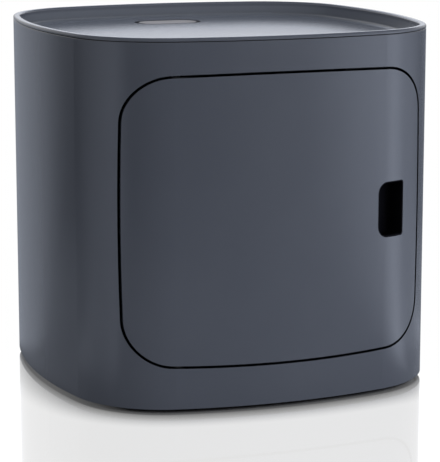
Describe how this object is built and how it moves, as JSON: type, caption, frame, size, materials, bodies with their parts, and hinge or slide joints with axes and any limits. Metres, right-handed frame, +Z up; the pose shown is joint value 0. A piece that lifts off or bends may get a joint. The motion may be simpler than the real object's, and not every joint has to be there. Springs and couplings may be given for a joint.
{
  "type": "stackable planter cabinet module",
  "caption": "Rounded-square stackable planter module: a storage cabinet with a flush curved hinged door, a finger pull, and a recessed lift-off tray that takes the next module.",
  "frame": {"origin": "on the floor, under the middle of the body", "axes": "+Z up, -Y to the front (the door), +X to the right seen from the front"},
  "size_m": [0.35, 0.35, 0.323],
  "materials": {
    "body": "slate grey moulded polypropylene, fine satin texture",
    "black": "black moulded plastic",
    "plug": "pale grey soft plastic",
    "rubber": "black rubber",
    "steel": "zinc-plated steel",
    "bush": "black acetal",
    "magnet": "dark sintered ferrite"
  },
  "bodies": {
    "housing": {"housing_shell": "body", "base_panel": "body", "base_screws": "steel", "foot_pads": "rubber", "hinge_pin_upper": "steel", "hinge_pin_lower": "steel", "hinge_washer": "bush", "catch_body": "black", "catch_magnet": "magnet", "catch_poles": "steel", "catch_screws": "steel", "door_buffers": "rubber"},
    "door": {"door_panel": "body", "pull_cup": "black", "hinge_bush_upper": "bush", "hinge_bush_lower": "bush", "strike_plate": "steel", "strike_screws": "steel"},
    "tray": {"top_tray": "body", "tray_plug": "plug"}
  },
  "joints": [
    {"name": "door_hinge", "type": "hinge", "parent": "housing", "child": "door", "pos_m": [-0.092, -0.153, 0.166], "axis": [0, 0, -1], "range_deg": [0, 100]},
    {"name": "tray_lift", "type": "slide", "parent": "housing", "child": "tray", "axis": [0, 0, 1], "range_m": [0, 0.06]}
  ]
}
